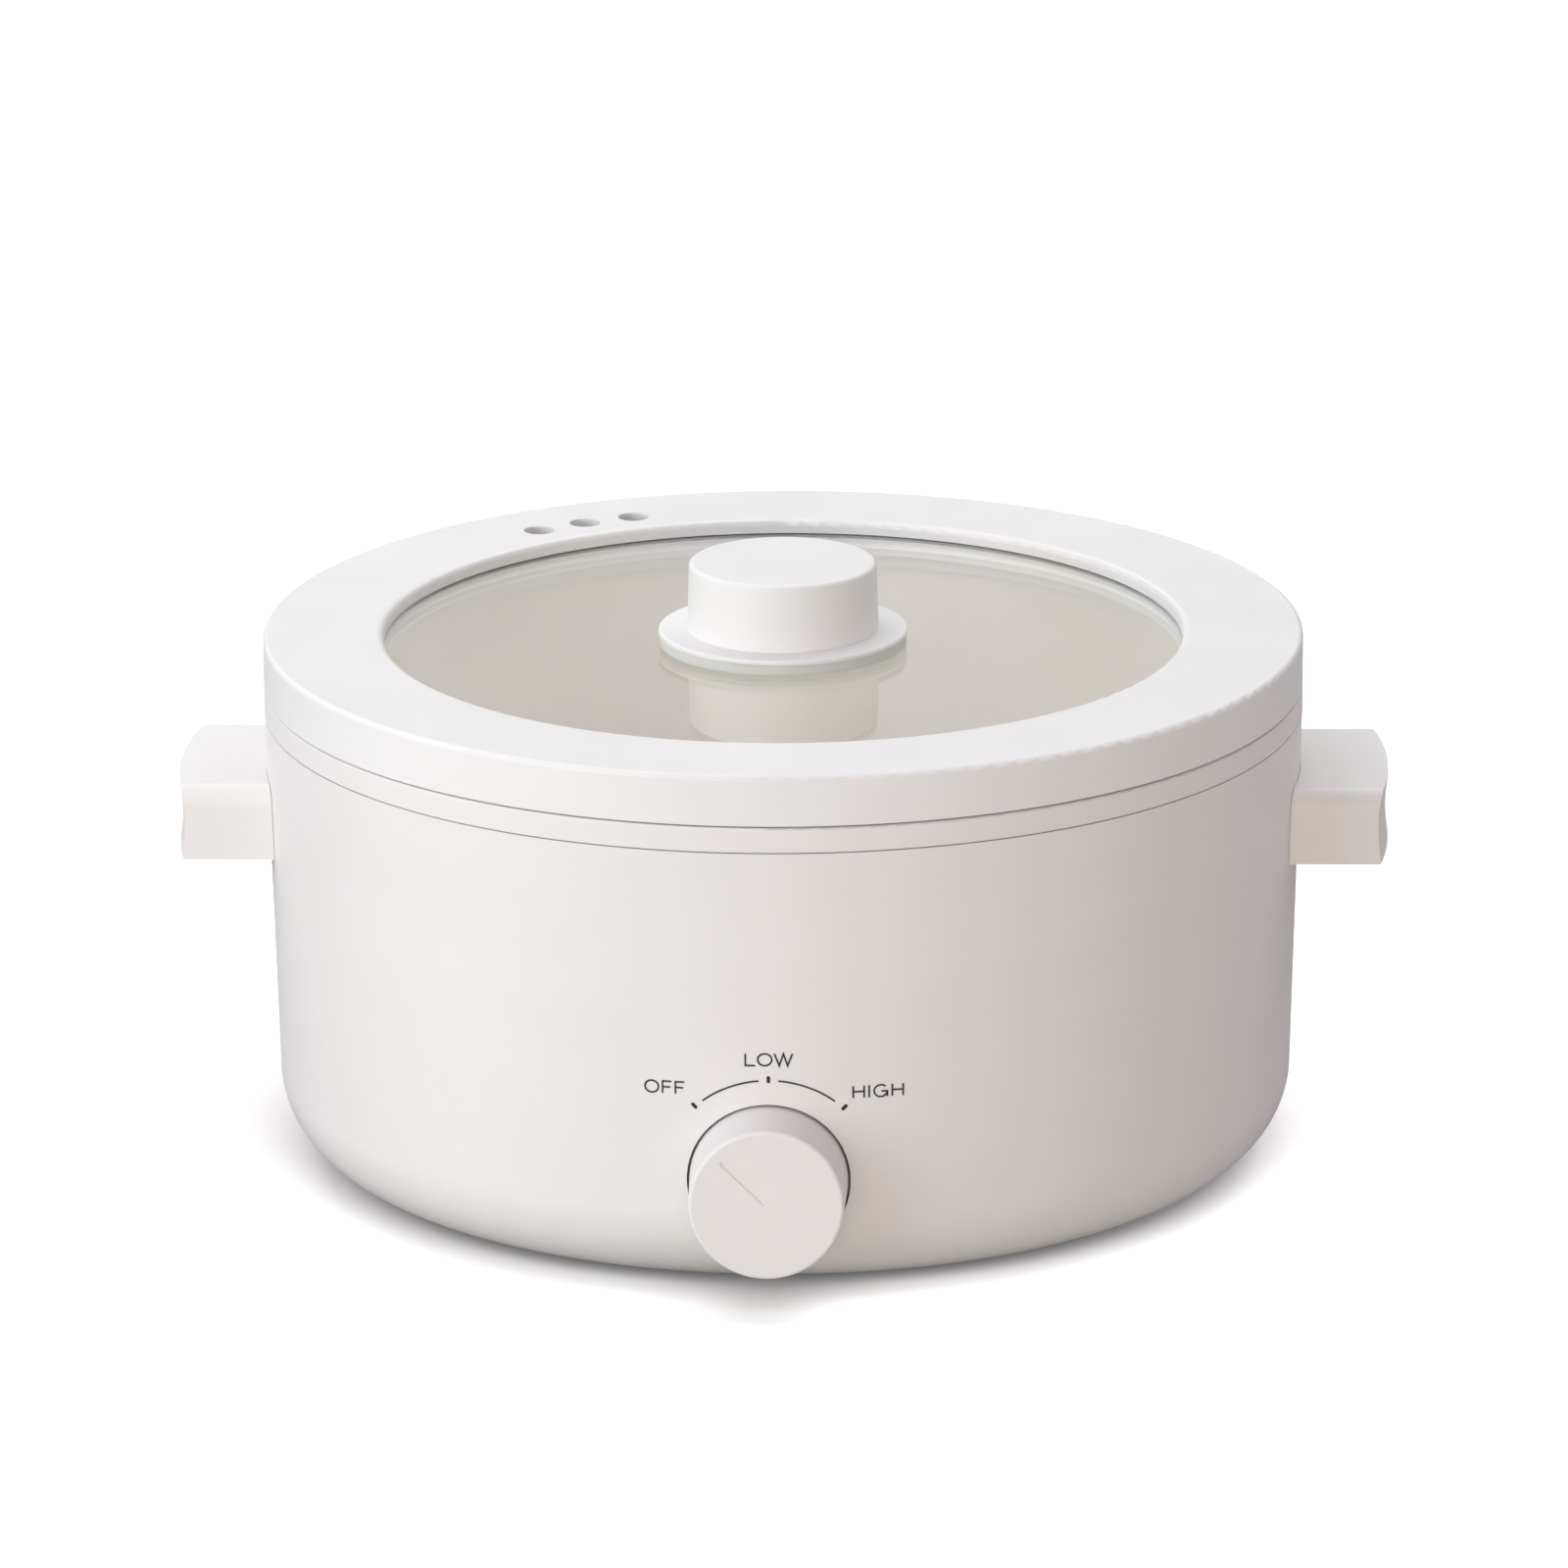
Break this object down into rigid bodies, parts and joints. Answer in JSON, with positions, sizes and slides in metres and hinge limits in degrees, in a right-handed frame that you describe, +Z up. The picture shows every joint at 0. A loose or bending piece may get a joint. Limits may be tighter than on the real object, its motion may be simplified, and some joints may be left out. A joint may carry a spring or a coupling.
{
  "type": "slow cooker",
  "caption": "Round countertop slow cooker with a lift-out pot, a glass lid in a wide plastic ring with a round grip, two side handles and a front rotary control.",
  "frame": {"origin": "centre of the cooker on the surface it stands on, at the undersides of its feet", "axes": "+Z up through the lid grip; the rotary control faces -Y; the handles lie on +X and -X; the power inlet is on +Y"},
  "size_m": [0.3334, 0.32, 0.1679],
  "materials": {
    "shell_plastic": "satin moulded white plastic",
    "lid_plastic": "satin moulded white plastic",
    "control_plastic": "satin moulded white plastic",
    "base_plastic": "fine matt texture",
    "foot_rubber": "matt",
    "silicone": "translucent, satin",
    "clear_glass": "polished",
    "coated_pot": "cream ceramic coating, satin",
    "well_steel": "drawn sheet",
    "cast_heater": "cast, machined top",
    "shield_aluminium": "bright sheet",
    "element_sheath": "dull, heat-darkened",
    "plain_steel": "zinc plated",
    "phenolic": "matt black",
    "nylon": "natural nylon",
    "fuse_ceramic": "unglazed",
    "brass": "plain",
    "wire_brown": "smooth insulation",
    "wire_blue": "smooth insulation",
    "wire_green": "smooth insulation",
    "wire_red": "silicone-glass sleeving"
  },
  "bodies": {
    "base": {"housing": "shell_plastic", "collar_ring": "shell_plastic", "base_plate": "base_plastic", "base_screws": "plain_steel", "rubber_feet": "foot_rubber", "handle_left": "shell_plastic", "handle_right": "shell_plastic", "handle_screws": "plain_steel", "heating_well": "well_steel", "well_screws": "plain_steel", "heater_plate": "cast_heater", "heater_element": "element_sheath", "heater_studs": "plain_steel", "heater_nuts": "plain_steel", "heat_shield": "shield_aluminium", "shield_spacers": "plain_steel", "thermostat": "phenolic", "thermal_fuse": "fuse_ceramic", "fuse_clamp": "plain_steel", "switch_body": "phenolic", "switch_cover": "phenolic", "switch_bushing": "plain_steel", "switch_nut": "plain_steel", "switch_terminals": "brass", "contact_springs": "brass", "inlet_shroud": "shell_plastic", "inlet_socket": "phenolic", "inlet_pins": "plain_steel", "shroud_screws": "plain_steel", "live_wire": "wire_brown", "neutral_wire": "wire_blue", "earth_wire": "wire_green", "heater_wires": "wire_red"},
    "pot": {"inner_pot": "coated_pot"},
    "lid": {"lid_ring": "lid_plastic", "lid_inner_ring": "lid_plastic", "lid_ring_screws": "plain_steel", "lid_glass": "clear_glass", "glass_gasket": "silicone", "lid_grip": "lid_plastic", "grip_insert": "brass", "grip_flange": "lid_plastic", "flange_washer": "silicone", "lower_washer": "silicone", "steel_washer": "plain_steel", "grip_screw": "plain_steel"},
    "control": {"control_knob": "control_plastic", "knob_clip": "plain_steel", "switch_shaft": "plain_steel", "switch_rotor": "nylon"}
  },
  "joints": [
    {"name": "pot_lift", "type": "slide", "parent": "base", "child": "pot", "axis": [0, 0, 1], "range_m": [0, 0.15]},
    {"name": "lid_lift", "type": "slide", "parent": "pot", "child": "lid", "axis": [0, 0, 1], "range_m": [0, 0.12]},
    {"name": "control_turn", "type": "hinge", "parent": "base", "child": "control", "pos_m": [0, -0.132, 0.0355], "axis": [0, 1, 0], "range_deg": [0, 90]}
  ]
}
